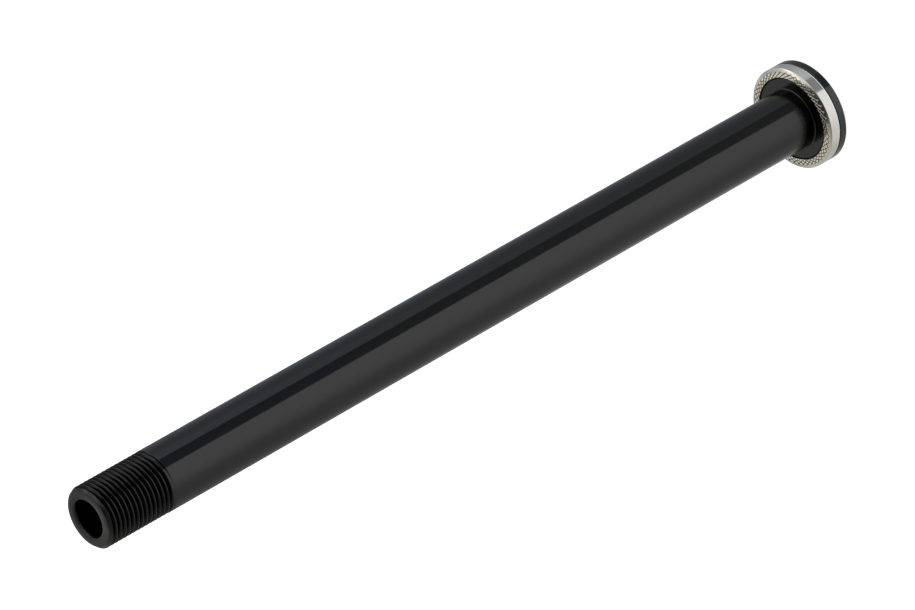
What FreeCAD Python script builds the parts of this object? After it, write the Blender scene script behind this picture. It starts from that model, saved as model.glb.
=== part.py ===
import FreeCAD, Part
import math
import os

# Bicycle thru axle, in millimetres.
# The axle's own axis is Z. It stands on the outer face of its head at z = 0, with the thread on top.

# Axle: lengths along Z
overall_length = 180.0
flange_thickness = 1.9
thread_length = 15.0
socket_depth = 7.0

# Axle: diameters
shaft_diameter = 11.95
thread_diameter = 11.9
bore_diameter = 7.2
head_diameter = 20.4
socket_across_flats = 6.0

# Axle: the thread, as V grooves one pitch apart
thread_pitch = 1.0
thread_groove_width = 0.46
thread_groove_angle = 60.0
first_groove_drop = 1.06

# Axle: edges
end_chamfer = 0.6
bore_edge = 0.15
socket_lead = 0.25
flange_outer_edge = 0.3
flange_front_edge = 0.15
boss_corner = 0.2
boss_recess = 0.2

# Serrated ring: it is as wide as the flange, and turns on the boss
ring_width = 1.87
ring_thickness = 2.6
ring_clearance = 0.18
ring_back_edge = 0.12
ring_bore_edge = 0.12
cone_width = 0.8
cone_drop = 0.4

# Diamond knurl on the ring's front face, deeper towards the cone
knurl_count = 48
knurl_start = 3.5
knurl_angle = 60.0
knurl_depth = 0.14
knurl_tilt = 1.7
knurl_included_angle = 90.0

# Radii and levels that follow from the sizes above
shaft_radius = shaft_diameter / 2
thread_radius = thread_diameter / 2
bore_radius = bore_diameter / 2
flange_radius = head_diameter / 2
ring_radius = flange_radius
ring_bore_radius = ring_radius - ring_width
boss_radius = ring_bore_radius - ring_clearance
ring_back_level = flange_thickness
ring_front_level = ring_back_level + ring_thickness
boss_level = ring_front_level - boss_recess
thread_level = overall_length - thread_length
knurl_outer_radius = ring_radius - cone_width


def point(radius, level):
    return FreeCAD.Vector(radius, 0, level)


def turned(corners):
    """A solid of revolution about Z, from the corners of a closed outline in the XZ plane."""
    outline = Part.Face(Part.makePolygon(corners + corners[:1]))
    return outline.revolve(FreeCAD.Vector(0, 0, 0), FreeCAD.Vector(0, 0, 1), 360)


def thread_grooves():
    """The corners of the thread's V grooves, upwards from the shaft to the end chamfer.

    The first one also runs out into the shaft, so its lower side is long and starts on the shaft.
    """
    half_width = thread_groove_width / 2
    depth = half_width / math.tan(math.radians(thread_groove_angle / 2))
    room = thread_length - first_groove_drop - half_width
    corners = [point(shaft_radius, thread_level)]
    for i in range(int(room / thread_pitch), -1, -1):
        middle = overall_length - first_groove_drop - i * thread_pitch
        if len(corners) > 1:
            corners.append(point(thread_radius, middle - half_width))
        corners.append(point(thread_radius - depth, middle))
        corners.append(point(thread_radius, middle + half_width))
    return corners


def axle_blank():
    """The outside of the axle: flange, boss, shaft, thread and end chamfer."""
    head = [
        point(0, 0),
        point(flange_radius - flange_outer_edge, 0),
        point(flange_radius, flange_outer_edge),
        point(flange_radius, flange_thickness - flange_front_edge),
        point(flange_radius - flange_front_edge, flange_thickness),
        point(boss_radius, flange_thickness),
        point(boss_radius, boss_level),
        point(shaft_radius + boss_corner, boss_level),
        point(shaft_radius, boss_level + boss_corner),
    ]
    end = [
        point(thread_radius, overall_length - end_chamfer),
        point(thread_radius - end_chamfer, overall_length),
        point(0, overall_length),
    ]
    return turned(head + thread_grooves() + end)


def bore():
    """The round hole from the threaded end down to the key socket, with its edge broken."""
    hole = [
        point(0, socket_depth),
        point(bore_radius, socket_depth),
        point(bore_radius, overall_length - bore_edge),
        point(bore_radius + bore_edge, overall_length),
        point(0, overall_length),
    ]
    return turned(hole)


def key_socket():
    """The hexagonal socket in the head's outer face, with a round lead-in."""
    corner_radius = socket_across_flats / math.sqrt(3)
    turns = [math.radians(30 + 60 * i) for i in range(7)]
    corners = [FreeCAD.Vector(corner_radius * math.cos(t), corner_radius * math.sin(t), 0) for t in turns]
    hexagon = Part.Face(Part.makePolygon(corners))
    prism = hexagon.extrude(FreeCAD.Vector(0, 0, socket_depth))
    lead_radius = corner_radius + socket_lead
    lead = Part.makeCone(lead_radius, 0, lead_radius)
    return prism.fuse(lead)


def axle():
    return axle_blank().cut(bore()).cut(key_socket())


def ring_blank():
    """The steel ring: flat back, plain rim, a cone at the front edge, and a flat face to be knurled."""
    corners = [
        point(ring_bore_radius, ring_back_level),
        point(ring_radius - ring_back_edge, ring_back_level),
        point(ring_radius, ring_back_level + ring_back_edge),
        point(ring_radius, ring_front_level - cone_drop),
        point(knurl_outer_radius, ring_front_level),
        point(ring_bore_radius + ring_bore_edge, ring_front_level),
        point(ring_bore_radius, ring_front_level - ring_bore_edge),
    ]
    return turned(corners)


def knurl_groove(lean):
    """One V groove across the front face, leaning from the radius by the angle given."""
    overshoot = knurl_depth
    height = knurl_depth + overshoot
    half_width = height * math.tan(math.radians(knurl_included_angle / 2))
    half_length = ring_radius - ring_bore_radius
    section = Part.makePolygon([
        FreeCAD.Vector(-half_length, 0, -knurl_depth),
        FreeCAD.Vector(-half_length, half_width, overshoot),
        FreeCAD.Vector(-half_length, -half_width, overshoot),
        FreeCAD.Vector(-half_length, 0, -knurl_depth),
    ])
    groove = Part.Face(section).extrude(FreeCAD.Vector(2 * half_length, 0, 0))
    groove.rotate(FreeCAD.Vector(0, 0, 0), FreeCAD.Vector(0, 1, 0), knurl_tilt)
    groove.rotate(FreeCAD.Vector(0, 0, 0), FreeCAD.Vector(0, 0, 1), lean)
    middle_radius = (ring_bore_radius + knurl_outer_radius) / 2
    groove.translate(FreeCAD.Vector(middle_radius, 0, ring_front_level))
    return groove


def knurl():
    """Two families of grooves that lean opposite ways and leave rows of small pyramids."""
    grooves = []
    for lean in (knurl_angle, -knurl_angle):
        for i in range(knurl_count):
            groove = knurl_groove(lean)
            turn = knurl_start + 360 * i / knurl_count
            groove.rotate(FreeCAD.Vector(0, 0, 0), FreeCAD.Vector(0, 0, 1), turn)
            grooves.append(groove)
    return grooves


def serrated_ring():
    return ring_blank().cut(knurl())


os.makedirs("parts", exist_ok=True)
for name, shape in (("axle", axle()), ("serrated_ring", serrated_ring())):
    shape.exportStep("parts/" + name + ".step")
    box = shape.BoundBox
    print(name, "solids", len(shape.Solids), "valid", shape.isValid(), "volume", round(shape.Volume, 1))
    print("  x", round(box.XMin, 3), round(box.XMax, 3), "z", round(box.ZMin, 3), round(box.ZMax, 3))
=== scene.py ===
import math

import bmesh
import bpy
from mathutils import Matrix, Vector


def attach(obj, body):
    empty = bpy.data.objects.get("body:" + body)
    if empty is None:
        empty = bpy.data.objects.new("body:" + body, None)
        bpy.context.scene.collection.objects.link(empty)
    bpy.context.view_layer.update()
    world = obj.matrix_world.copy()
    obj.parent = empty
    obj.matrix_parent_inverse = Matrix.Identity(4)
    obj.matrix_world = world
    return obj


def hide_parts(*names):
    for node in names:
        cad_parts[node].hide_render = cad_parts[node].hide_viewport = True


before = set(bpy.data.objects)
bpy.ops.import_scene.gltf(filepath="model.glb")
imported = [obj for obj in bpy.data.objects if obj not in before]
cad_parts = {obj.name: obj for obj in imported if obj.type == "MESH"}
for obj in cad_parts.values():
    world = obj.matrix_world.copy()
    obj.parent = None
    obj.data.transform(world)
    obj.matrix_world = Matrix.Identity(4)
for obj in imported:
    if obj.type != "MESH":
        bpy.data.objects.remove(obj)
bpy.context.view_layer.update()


# The axle is one bar of aluminium. It is turned, bored from the threaded end, broached for a key in the
# head, threaded, and anodised black. It stands on the outer face of its head, with its own axis along Z.
# The sizes of both pieces are in millimetres, which mm turns into metres, and angles are in degrees.

mm = 0.001
axle_sides = 96
edge_rounding = 0.03

flange_radius = 10.2
flange_front = 1.9
flange_outer_edge = 0.3
flange_front_edge = 0.15
boss_radius = 8.15
boss_front = 4.3
boss_edge = 0.08
shaft_radius = 5.975
thread_radius = 5.95
thread_start = 165.0
thread_step = 0.03
overall_length = 180.0
end_chamfer = 0.6
bore_radius = 3.6
bore_bottom = 7.0
bore_lead_in_width = 0.12
bore_lead_in_depth = 0.45
pilot_radius = 1.0

fillet_width = 0.26
fillet_height = 0.2
fillet_turns = [math.radians(22.5 * step) for step in range(5)]
fillet = [
    (shaft_radius + fillet_width * (1 - math.sin(turn)), boss_front + fillet_height * (1 - math.cos(turn)))
    for turn in fillet_turns
]

# The head starts with a small pilot hole, which the key socket then takes in.
axle_outline = [
    (pilot_radius, 0),
    (flange_radius - flange_outer_edge, 0),
    (flange_radius, flange_outer_edge),
    (flange_radius, flange_front - flange_front_edge),
    (flange_radius - flange_front_edge, flange_front),
    (boss_radius, flange_front),
    (boss_radius, boss_front - boss_edge),
    (boss_radius - boss_edge, boss_front),
    *fillet,
    (shaft_radius, thread_start),
    (thread_radius, thread_start + thread_step),
    (thread_radius, overall_length - end_chamfer),
    (thread_radius - end_chamfer, overall_length),
    (bore_radius + bore_lead_in_width, overall_length),
    (bore_radius, overall_length - bore_lead_in_depth),
    (bore_radius, bore_bottom),
    (pilot_radius, bore_bottom),
]


def select_none():
    if bpy.context.object and bpy.context.object.mode != 'OBJECT':
        bpy.ops.object.mode_set(mode='OBJECT')
    bpy.ops.object.select_all(action='DESELECT')


def select_only(piece):
    select_none()
    piece.select_set(True)
    bpy.context.view_layer.objects.active = piece


def face_outwards():
    """Turns every face of the piece in edit mode to the outside."""
    bpy.ops.mesh.select_all(action='SELECT')
    bpy.ops.mesh.normals_make_consistent(inside=False)


def draw_outline(name, points):
    """A closed outline of straight edges, drawn from corner to corner. Points are in millimetres."""
    select_none()
    first = Vector(points[0]) * mm
    bpy.ops.mesh.primitive_plane_add(size=mm, location=first)
    outline = bpy.context.object
    outline.name = name
    bpy.ops.object.transform_apply(location=True, rotation=True, scale=True)
    bpy.ops.object.mode_set(mode='EDIT')
    bpy.ops.mesh.select_all(action='SELECT')
    bpy.ops.mesh.merge(type='CENTER')
    bpy.ops.mesh.select_mode(type='VERT')
    bpy.ops.mesh.select_all(action='SELECT')
    here = first
    for point in points[1:]:
        there = Vector(point) * mm
        bpy.ops.mesh.extrude_region_move(TRANSFORM_OT_translate={"value": there - here})
        here = there
    bpy.ops.mesh.select_all(action='SELECT')
    bpy.ops.mesh.edge_face_add()
    return outline


def turn_on_lathe(name, profile, steps):
    """Draws half of the piece's section, rounds its corners off a little, and spins it about Z."""
    same_place = 0.002
    piece = draw_outline(name, [(radius, 0, level) for radius, level in profile])
    bpy.ops.mesh.bevel(offset=edge_rounding * mm, segments=2, affect='VERTICES', clamp_overlap=True)
    bpy.ops.mesh.select_all(action='SELECT')
    bpy.ops.mesh.delete(type='ONLY_FACE')
    bpy.ops.mesh.select_all(action='SELECT')
    bpy.ops.mesh.spin(steps=steps, angle=2 * math.pi, center=(0, 0, 0), axis=(0, 0, 1))
    bpy.ops.mesh.select_all(action='SELECT')
    bpy.ops.mesh.remove_doubles(threshold=same_place * mm)
    face_outwards()
    bpy.ops.object.mode_set(mode='OBJECT')
    return piece


def apply_modifier(piece, modifier):
    select_only(piece)
    bpy.ops.object.modifier_apply(modifier=modifier.name)


def cut_away(piece, tool):
    """Takes the tool's shape out of the piece, and puts the tool away."""
    cut = piece.modifiers.new("cut", 'BOOLEAN')
    cut.operation = 'DIFFERENCE'
    cut.solver = 'EXACT'
    cut.object = tool
    apply_modifier(piece, cut)
    bpy.data.objects.remove(tool)


axle = turn_on_lathe("turned_axle", axle_outline, axle_sides)

# The socket for a 6 mm key is broached into the head, with rounded corners and a round lead-in.
socket_across_flats = 6.0
socket_corner_radius = socket_across_flats / math.sqrt(3)
socket_corner_rounding = 0.3
socket_lead_in = 0.25
overshoot = 1.0

select_none()
bpy.ops.mesh.primitive_cylinder_add(
    vertices=6, radius=socket_corner_radius * mm, depth=(bore_bottom + 2 * overshoot) * mm,
    location=(0, 0, bore_bottom / 2 * mm))
broach = bpy.context.object
bpy.ops.object.transform_apply(location=True)
bpy.ops.object.mode_set(mode='EDIT')
bpy.ops.mesh.select_mode(type='EDGE')
bpy.ops.mesh.select_all(action='DESELECT')
# The six upright edges get rounded.
broach_mesh = bmesh.from_edit_mesh(broach.data)
for edge in broach_mesh.edges:
    rise = abs(edge.verts[0].co.z - edge.verts[1].co.z)
    edge.select = rise > bore_bottom * mm
bmesh.update_edit_mesh(broach.data)
bpy.ops.mesh.bevel(offset=socket_corner_rounding * mm, segments=3, affect='EDGES')
bpy.ops.object.mode_set(mode='OBJECT')
cut_away(axle, broach)

lead_in_radius = socket_corner_radius + socket_lead_in
select_none()
bpy.ops.mesh.primitive_cone_add(
    vertices=48, radius1=(lead_in_radius + overshoot) * mm, radius2=0,
    depth=(lead_in_radius + overshoot) * mm, location=(0, 0, (lead_in_radius - overshoot) / 2 * mm))
cut_away(axle, bpy.context.object)

# The thread is M12 x 1, right-hand. Its V groove starts on the end chamfer and is drawn out of the
# metal over the last third of a turn, close to the shaft.
pitch = 1.0
root_radius = 5.33
root_half_width = 0.07
crest_radius = 5.955
crest_half_width = 0.065
crest_rounding = 0.035
crest_power = 2.5
crest_shares = (1, 0.8, 0.55, 0)
cutter_radius = 6.4
run_out_angle = 249.375
run_out_level = 165.11
run_out_steps = 32
run_out_lift = 0.64
thread_turns = 16

crest = [
    (pitch / 2 - crest_half_width * share, crest_radius - crest_rounding * share ** crest_power)
    for share in crest_shares
]
groove_side = [(root_half_width, root_radius), *crest, (pitch / 2, cutter_radius)]
lower_side = [(radius, 0, run_out_level - half_width) for half_width, radius in reversed(groove_side)]
upper_side = [(radius, 0, run_out_level + half_width) for half_width, radius in groove_side]
groove_points = lower_side + upper_side

groove = draw_outline("thread_groove", groove_points)
bpy.ops.mesh.select_all(action='SELECT')
bpy.ops.mesh.delete(type='ONLY_FACE')
bpy.ops.object.mode_set(mode='OBJECT')
helix = groove.modifiers.new("helix", 'SCREW')
helix.axis = 'Z'
helix.angle = 2 * math.pi
helix.steps = axle_sides
helix.render_steps = axle_sides
helix.screw_offset = pitch * mm
helix.iterations = thread_turns
helix.use_merge_vertices = False
apply_modifier(groove, helix)

# Each ring of corners along the run-out is moved away from the axis, the first one furthest.
bpy.ops.object.mode_set(mode='EDIT')
bpy.ops.mesh.select_mode(type='VERT')
corners = len(groove_points)
for step in range(run_out_steps):
    lift = run_out_lift * (1 - step / run_out_steps)
    widen = 1 + lift / root_radius
    bpy.ops.mesh.select_all(action='DESELECT')
    groove_mesh = bmesh.from_edit_mesh(groove.data)
    groove_mesh.verts.ensure_lookup_table()
    for vertex in groove_mesh.verts[step * corners:(step + 1) * corners]:
        vertex.select = True
    groove_mesh.select_flush(True)
    bmesh.update_edit_mesh(groove.data)
    bpy.ops.transform.resize(value=(widen, widen, 1), center_override=(0, 0, 0))
bpy.ops.mesh.select_all(action='SELECT')
bpy.ops.mesh.fill_holes(sides=0)
face_outwards()
bpy.ops.object.mode_set(mode='OBJECT')
groove.rotation_euler = (0, 0, math.radians(run_out_angle))
cut_away(axle, groove)


def finish_shading(piece, crease):
    """Smooth faces with crisp edges where they meet at more than the crease angle, in degrees."""
    same_place = 0.0005
    select_only(piece)
    bpy.ops.object.mode_set(mode='EDIT')
    bpy.ops.mesh.select_all(action='SELECT')
    bpy.ops.mesh.remove_doubles(threshold=same_place * mm)
    bpy.ops.object.mode_set(mode='OBJECT')
    bpy.ops.object.shade_smooth_by_angle(angle=math.radians(crease))
    even = piece.modifiers.new("even", 'WEIGHTED_NORMAL')
    even.keep_sharp = True
    even.weight = 80
    apply_modifier(piece, even)


finish_shading(axle, crease=32)


def new_material(name):
    """An empty material, as itself, its node tree and its main shader."""
    material = bpy.data.materials.new(name)
    material.use_nodes = True
    tree = material.node_tree
    return material, tree, tree.nodes["Principled BSDF"]


def feed(tree, source, socket):
    """Links an output to the socket, or sets a number or a colour on it."""
    if isinstance(source, bpy.types.NodeSocket):
        tree.links.new(source, socket)
    else:
        socket.default_value = source


def remap(tree, value, start, end, low=0, high=1, ramp='LINEAR'):
    """Goes from low to high while the value goes from start to end, and stays between them."""
    node = tree.nodes.new('ShaderNodeMapRange')
    node.interpolation_type = ramp
    node.inputs['From Min'].default_value = start
    node.inputs['From Max'].default_value = end
    node.inputs['To Min'].default_value = low
    node.inputs['To Max'].default_value = high
    feed(tree, value, node.inputs['Value'])
    return node.outputs['Result']


def calculate(tree, operation, first, second):
    """The result of one operation on two values."""
    node = tree.nodes.new('ShaderNodeMath')
    node.operation = operation
    feed(tree, first, node.inputs[0])
    feed(tree, second, node.inputs[1])
    return node.outputs['Value']


def place_on_piece(tree):
    """The distance from the axle's own axis and the level along it, in metres."""
    place = tree.nodes.new('ShaderNodeTexCoord')
    split = tree.nodes.new('ShaderNodeSeparateXYZ')
    feed(tree, place.outputs['Object'], split.inputs['Vector'])
    across = tree.nodes.new('ShaderNodeVectorMath')
    across.operation = 'MULTIPLY'
    across.inputs[1].default_value = (1, 1, 0)
    feed(tree, place.outputs['Object'], across.inputs[0])
    length = tree.nodes.new('ShaderNodeVectorMath')
    length.operation = 'LENGTH'
    feed(tree, across.outputs['Vector'], length.inputs[0])
    return length.outputs['Value'], split.outputs['Z']


def turned_finish(tree, shader, stretch, smoothest, roughest):
    """Fine rings left by the tool: noise that is nearly even round the axis and quick along it.

    The gloss is drawn out across the rings, and its roughness comes back as an output.
    """
    noise_low = 0.3
    noise_high = 0.7
    around = tree.nodes.new('ShaderNodeTangent')
    around.direction_type = 'RADIAL'
    around.axis = 'Z'
    feed(tree, around.outputs['Tangent'], shader.inputs['Tangent'])
    shader.inputs['Anisotropic Rotation'].default_value = 0.25
    place = tree.nodes.new('ShaderNodeTexCoord')
    squeeze = tree.nodes.new('ShaderNodeMapping')
    squeeze.inputs['Scale'].default_value = stretch
    feed(tree, place.outputs['Object'], squeeze.inputs['Vector'])
    rings = tree.nodes.new('ShaderNodeTexNoise')
    rings.inputs['Scale'].default_value = 1
    rings.inputs['Detail'].default_value = 3
    rings.inputs['Roughness'].default_value = 0.6
    feed(tree, squeeze.outputs['Vector'], rings.inputs['Vector'])
    return remap(tree, rings.outputs['Fac'], noise_low, noise_high, smoothest, roughest)


def black_anodised():
    """A black that shows almost by its gloss alone, which differs a little from face to face."""
    flange_index = 1.68
    shaft_index = 1.58
    finish_blend = 0.1
    slant_start = 0.16
    slant_full = 0.40
    slanted_share = 0.874
    flank_top = 5.93
    flank_blend = 0.07
    flank_share = 0.86
    chamfer_level = overall_length - end_chamfer
    end_face_start = overall_length - 0.05
    end_face_full = overall_length - 0.02
    end_face_share = 0.95

    material, tree, gloss = new_material("black_anodised_turned")
    gloss.inputs['Base Color'].default_value = (0.0012, 0.0012, 0.0014, 1)
    gloss.inputs['Metallic'].default_value = 0
    gloss.inputs['Anisotropic'].default_value = 0.9
    roughness = turned_finish(tree, gloss, stretch=(60, 60, 9000), smoothest=0.11, roughest=0.15)
    feed(tree, roughness, gloss.inputs['Roughness'])
    from_axis, level = place_on_piece(tree)

    # The flange was turned with a finer feed, so its anodised film is a little brighter.
    film = remap(
        tree, level, (flange_front - finish_blend) * mm, flange_front * mm, flange_index, shaft_index)
    facing = tree.nodes.new('ShaderNodeLayerWeight')
    facing.inputs['Blend'].default_value = 0.5
    slanted = remap(tree, facing.outputs['Facing'], slant_start, slant_full, 1, slanted_share)
    index = calculate(tree, 'MULTIPLY', film, slanted)

    # The thread's flanks and the bore are as the cutter left them, and duller than crests and chamfer.
    flank = remap(tree, from_axis, (flank_top - flank_blend) * mm, flank_top * mm, flank_share, 1)
    chamfer = remap(tree, level, (chamfer_level - finish_blend) * mm, chamfer_level * mm)
    duller = calculate(tree, 'MAXIMUM', flank, chamfer)
    index = calculate(tree, 'MULTIPLY', index, duller)

    # The end face, where the bar was parted off, is a little duller than the chamfer too.
    end_face = remap(tree, level, end_face_start * mm, end_face_full * mm, 1, end_face_share)
    index = calculate(tree, 'MULTIPLY', index, end_face)
    feed(tree, index, gloss.inputs['IOR'])
    return material


axle.data.materials.clear()
axle.data.materials.append(black_anodised())

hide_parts("axle")
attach(axle, "axle")


# The serrated ring is turned from stainless steel. It lies against the flange and turns freely on the
# boss. Its front face has a diamond knurl that bites into the frame.

ring_sides = 192
ring_bore_radius = 8.33
ring_bore_edge = 0.12
ring_front = 4.5
back_edge_width = 0.085
back_edge_height = 0.27
cone_start = 9.4
cone_drop = 0.4
teeth = 48
knurl_start = 3.5
knurl_lean = 60
knurl_tilt = 1.7

ring_outline = [
    (ring_bore_radius, flange_front),
    (flange_radius - back_edge_width, flange_front),
    (flange_radius, flange_front + back_edge_height),
    (flange_radius, ring_front - cone_drop),
    (cone_start, ring_front),
    (ring_bore_radius + ring_bore_edge, ring_front),
    (ring_bore_radius, ring_front - ring_bore_edge),
]
ring = turn_on_lathe("knurled_ring", ring_outline, ring_sides)


def knurl_grooves(lean, depth, half_width):
    """A V groove that leans from the radius, with a copy at every tooth, as one cutter."""
    above_face = 0.1
    inner_end = -1.5
    outer_end = 2.1
    section = [
        (inner_end, 0, -depth),
        (inner_end, half_width, 0),
        (inner_end, half_width, above_face),
        (inner_end, -half_width, above_face),
        (inner_end, -half_width, 0),
    ]
    cutter = draw_outline("knurl_cutter", section)
    bpy.ops.mesh.select_all(action='SELECT')
    bpy.ops.mesh.extrude_region_move(TRANSFORM_OT_translate={"value": ((outer_end - inner_end) * mm, 0, 0)})
    bpy.ops.object.mode_set(mode='OBJECT')
    cutter.rotation_euler = (0, math.radians(knurl_tilt), math.radians(lean))
    cutter.location = ((ring_bore_radius + cone_start) / 2 * mm, 0, ring_front * mm)
    bpy.ops.object.transform_apply(location=True, rotation=True, scale=True)
    cutter.rotation_euler = (0, 0, math.radians(knurl_start))
    bpy.ops.object.transform_apply(location=True, rotation=True, scale=True)
    bpy.ops.object.mode_set(mode='EDIT')
    bpy.ops.mesh.select_all(action='SELECT')
    copies = teeth - 1
    bpy.ops.mesh.spin(
        steps=copies, dupli=True, angle=2 * math.pi / teeth * copies, center=(0, 0, 0), axis=(0, 0, 1))
    face_outwards()
    bpy.ops.object.mode_set(mode='OBJECT')
    return cutter


# The two families of grooves differ a little in depth, so that their bottoms don't meet in a point.
cut_away(ring, knurl_grooves(-knurl_lean, depth=0.15, half_width=0.11))
cut_away(ring, knurl_grooves(knurl_lean, depth=0.13, half_width=0.10))
finish_shading(ring, crease=20)


def blend_colours(tree, share, first, second):
    """The first colour where the share is 0, the second where it is 1. Inputs 6 and 7 take colours."""
    node = tree.nodes.new('ShaderNodeMix')
    node.data_type = 'RGBA'
    feed(tree, share, node.inputs[0])
    feed(tree, first, node.inputs[6])
    feed(tree, second, node.inputs[7])
    return node.outputs[2]


def stainless():
    """Bright turned steel, smoother on the knurled face, with painted shade darkening the knurl's grooves.
    """
    knurled_face = (0.73, 0.70, 0.60, 1)
    rim = (0.72, 0.70, 0.65, 1)
    # Painted shade: the dark brown that is laid into the knurl's grooves.
    groove_shade = (0.13, 0.098, 0.062, 1)
    groove_shade_start = 0.04
    groove_shade_full = 0.13
    deepest_groove_shade = 0.35
    cone_blend = 0.05
    smoother_share = 0.6

    material, tree, steel = new_material("stainless_turned")
    steel.inputs['Metallic'].default_value = 1
    steel.inputs['Anisotropic'].default_value = 0.85
    roughness = turned_finish(tree, steel, stretch=(300, 300, 9000), smoothest=0.14, roughest=0.22)
    from_axis, level = place_on_piece(tree)
    past_face = remap(tree, from_axis, (cone_start - cone_blend) * mm, (cone_start + cone_blend) * mm)
    smoother = remap(tree, past_face, 0, 1, smoother_share, 1)
    feed(tree, calculate(tree, 'MULTIPLY', roughness, smoother), steel.inputs['Roughness'])

    # Painted shade: the grooves are darkened towards their bottoms, where shade falls in them. Further down
    # than they go, the steel is left unshaded.
    cone_fall = remap(tree, from_axis, cone_start * mm, flange_radius * mm, 0, cone_drop * mm)
    face_level = calculate(tree, 'ADD', level, cone_fall)
    in_groove = remap(tree, face_level, (ring_front - groove_shade_start) * mm, (ring_front - groove_shade_full) * mm)
    near_front = calculate(tree, 'GREATER_THAN', level, (ring_front - deepest_groove_shade) * mm)
    groove_shade_share = calculate(tree, 'MULTIPLY', in_groove, near_front)
    unshaded_steel = blend_colours(tree, past_face, knurled_face, rim)
    feed(tree, blend_colours(tree, groove_shade_share, unshaded_steel, groove_shade), steel.inputs['Base Color'])
    return material


ring.data.materials.clear()
ring.data.materials.append(stainless())

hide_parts("serrated_ring")
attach(ring, "ring")


# The floor is a plain sheet of white paper that the axle's head stands on. It is left out of what the
# gloss mirrors, and to the camera it glows a little, as overexposed paper does.

floor_size = 4
floor_gap = 0.01
paper_glow = 0.85

select_none()
bpy.ops.mesh.primitive_plane_add(size=floor_size, location=(0, 0, -floor_gap * mm))
floor = bpy.context.object
floor.name = "floor"
white_floor, tree, paper = new_material("white_floor")
paper.inputs['Base Color'].default_value = (0.8, 0.8, 0.8, 1)
paper.inputs['Roughness'].default_value = 1
paper.inputs['Specular IOR Level'].default_value = 0
ray = tree.nodes.new('ShaderNodeLightPath')
glow = tree.nodes.new('ShaderNodeEmission')
glow.inputs['Color'].default_value = (1, 1, 1, 1)
feed(tree, calculate(tree, 'MULTIPLY', ray.outputs['Is Camera Ray'], paper_glow), glow.inputs['Strength'])
lit_paper = tree.nodes.new('ShaderNodeAddShader')
feed(tree, paper.outputs['BSDF'], lit_paper.inputs[0])
feed(tree, glow.outputs['Emission'], lit_paper.inputs[1])
feed(tree, lit_paper.outputs['Shader'], tree.nodes["Material Output"].inputs['Surface'])
floor.data.materials.append(white_floor)
floor.visible_glossy = False


# The studio round the axle is what its gloss and its steel mirror: a pale room, a large soft light on
# either side, and a dark gap beside one of them. A square lamp above lights the floor and the axle.

studio = bpy.data.worlds.new("studio")
bpy.context.scene.world = studio
studio.use_nodes = True
tree = studio.node_tree
tree.nodes.clear()
toward = tree.nodes.new('ShaderNodeTexCoord')
split = tree.nodes.new('ShaderNodeSeparateXYZ')
feed(tree, toward.outputs['Generated'], split.inputs['Vector'])
upward = split.outputs['Z']
bearing = calculate(tree, 'ARCTAN2', split.outputs['Y'], split.outputs['X'])
round_room = remap(tree, bearing, -math.pi, math.pi)


def band(stops):
    """The room's colour by bearing in degrees, as one ramp that closes on itself."""
    ramp = tree.nodes.new('ShaderNodeValToRGB')
    elements = ramp.color_ramp.elements
    elements.remove(elements[1])
    for number, (degrees, red, green, blue) in enumerate(stops):
        element = elements.new(degrees / 360 + 0.5) if number else elements[0]
        element.color = (red, green, blue, 1)
    feed(tree, round_room, ramp.inputs['Fac'])
    return ramp.outputs['Color']


deep = band([
    (-180, 0.785, 0.785, 0.78),
    (-160, 0.81, 0.81, 0.805),
    (-140, 0.91, 0.91, 0.9),
    (-125, 1, 1, 0.99),
    (-108, 1.03, 1.03, 1.02),
    (-69.1, 1.03, 1.03, 1.02),
    (-68.1, 0.29, 0.285, 0.267),
    (-32, 0.275, 0.275, 0.262),
    (-31, 0.46, 0.47, 0.47),
    (-20, 0.43, 0.445, 0.455),
    (0, 0.405, 0.42, 0.425),
    (20, 0.355, 0.375, 0.395),
    (40, 0.315, 0.345, 0.38),
    (62, 0.33, 0.365, 0.39),
    (80, 0.56, 0.58, 0.62),
    (86, 1, 1.02, 1.05),
    (94, 1, 1.02, 1.05),
    (100, 0.6, 0.62, 0.64),
    (118, 0.6, 0.63, 0.635),
    (130, 0.6, 0.61, 0.605),
    (145, 0.57, 0.57, 0.56),
    (160, 0.62, 0.62, 0.61),
    (180, 0.785, 0.785, 0.78),
])
low = band([
    (-180, 0.59, 0.59, 0.585),
    (-150, 0.61, 0.61, 0.61),
    (-135, 0.78, 0.78, 0.78),
    (-120, 0.88, 0.88, 0.88),
    (-108, 0.92, 0.92, 0.92),
    (-70, 0.92, 0.92, 0.92),
    (-69, 0.13, 0.16, 0.21),
    (-33.6, 0.12, 0.15, 0.205),
    (-32.6, 0.7, 0.76, 0.83),
    (-10, 0.73, 0.78, 0.85),
    (6, 0.47, 0.52, 0.59),
    (20, 0.36, 0.41, 0.48),
    (40, 0.32, 0.36, 0.42),
    (60, 0.235, 0.255, 0.295),
    (75, 0.2, 0.215, 0.23),
    (90, 0.28, 0.29, 0.3),
    (105, 0.2, 0.2, 0.19),
    (118, 0.21, 0.21, 0.195),
    (130, 0.29, 0.29, 0.28),
    (150, 0.37, 0.37, 0.365),
    (165, 0.49, 0.49, 0.485),
    (180, 0.59, 0.59, 0.585),
])
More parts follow.
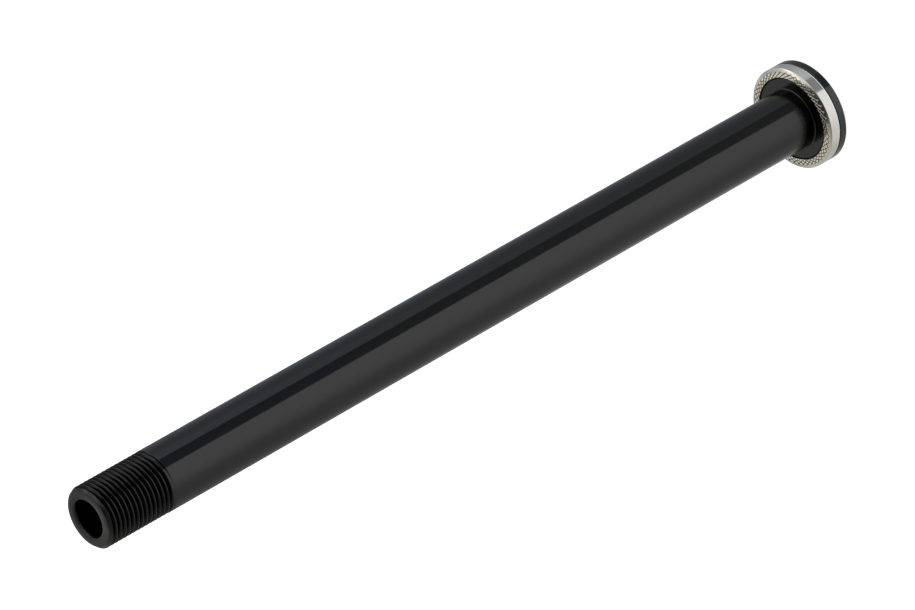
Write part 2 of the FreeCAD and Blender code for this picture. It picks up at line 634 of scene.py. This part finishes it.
high = band([
    (-180, 0.24, 0.24, 0.24),
    (-150, 0.2, 0.2, 0.2),
    (-90, 0.2, 0.2, 0.2),
    (-63, 0.5, 0.5, 0.5),
    (-40, 0.74, 0.74, 0.74),
    (-20, 1, 1, 0.98),
    (-5, 0.8, 0.8, 0.78),
    (9, 0.68, 0.68, 0.67),
    (15, 1.4, 1.4, 1.38),
    (23, 1.65, 1.65, 1.64),
    (29, 1.05, 1.05, 1.04),
    (36, 0.55, 0.55, 0.55),
    (46, 0.6, 0.605, 0.615),
    (57, 0.37, 0.385, 0.4),
    (64, 0.6, 0.61, 0.62),
    (74, 0.86, 0.88, 0.91),
    (81, 0.72, 0.725, 0.73),
    (90, 0.82, 0.81, 0.78),
    (99, 0.62, 0.62, 0.6),
    (107, 0.66, 0.655, 0.64),
    (117, 0.66, 0.65, 0.62),
    (128, 0.57, 0.56, 0.53),
    (148, 0.54, 0.52, 0.48),
    (158, 0.52, 0.5, 0.44),
    (168, 0.36, 0.34, 0.31),
    (180, 0.24, 0.24, 0.24),
])

# From the bottom upwards, the room goes from bluish through the three bands to a dark top. Each change
# lies between two values of the direction's upward part, which is -1 straight down and 1 straight up.
bluish_bottom = (1.15, 1.4, 1.75, 1)
dark_top = (0.02, 0.02, 0.02, 1)
bottom_to_deep = remap(tree, upward, -0.86, -0.78)
deep_to_low = remap(tree, upward, -0.61, -0.515)
low_to_high = remap(tree, upward, -0.24, 0.24, ramp='SMOOTHSTEP')
high_to_top = remap(tree, upward, 0.90, 0.96, ramp='SMOOTHSTEP')
room = blend_colours(tree, deep_to_low, deep, low)
room = blend_colours(tree, bottom_to_deep, bluish_bottom, room)
room = blend_colours(tree, low_to_high, room, high)
room = blend_colours(tree, high_to_top, room, dark_top)

mirrored = tree.nodes.new('ShaderNodeBackground')
feed(tree, room, mirrored.inputs['Color'])
plain = tree.nodes.new('ShaderNodeBackground')
plain.inputs['Color'].default_value = (1, 1, 1, 1)
plain.inputs['Strength'].default_value = 0.35
ray = tree.nodes.new('ShaderNodeLightPath')
pick = tree.nodes.new('ShaderNodeMixShader')
feed(tree, ray.outputs['Is Glossy Ray'], pick.inputs['Fac'])
feed(tree, plain.outputs['Background'], pick.inputs[1])
feed(tree, mirrored.outputs['Background'], pick.inputs[2])
surroundings = tree.nodes.new('ShaderNodeOutputWorld')
feed(tree, pick.outputs['Shader'], surroundings.inputs['Surface'])
studio.cycles.sampling_method = 'NONE'

lamp_data = bpy.data.lights.new("soft_light", 'AREA')
lamp_data.shape = 'SQUARE'
lamp_data.size = 1.2
lamp_data.energy = 4
lamp = bpy.data.objects.new("soft_light", lamp_data)
bpy.context.scene.collection.objects.link(lamp)
lamp.location = (0.5, 0.1, 1.2)
lamp_target = Vector((0, 0, 0.05))
lamp.rotation_euler = (lamp_target - lamp.location).to_track_quat('-Z', 'Y').to_euler()
lamp.visible_glossy = False


# The camera looks down on the threaded end through a long lens, and is rolled so that the head is at
# top right. Its place, direction, lens and roll were fitted to the axle's outline in the photo.

camera_data = bpy.data.cameras.new("camera")
camera = bpy.data.objects.new("camera", camera_data)
bpy.context.scene.collection.objects.link(camera)
bpy.context.scene.camera = camera
camera_data.sensor_width = 36
camera_data.lens = 248.31
camera_data.clip_start = 0.05
camera_data.clip_end = 20
camera.location = (0, -0.93771, 0.73061)
view_direction = Vector((0.00053754, 0.82621013, -0.56336182))
camera_roll = -119.623
camera.rotation_euler = view_direction.to_track_quat('-Z', 'Y').to_euler()
camera.rotation_euler.rotate_axis('Z', math.radians(camera_roll))

bpy.context.scene.view_settings.view_transform = 'Standard'
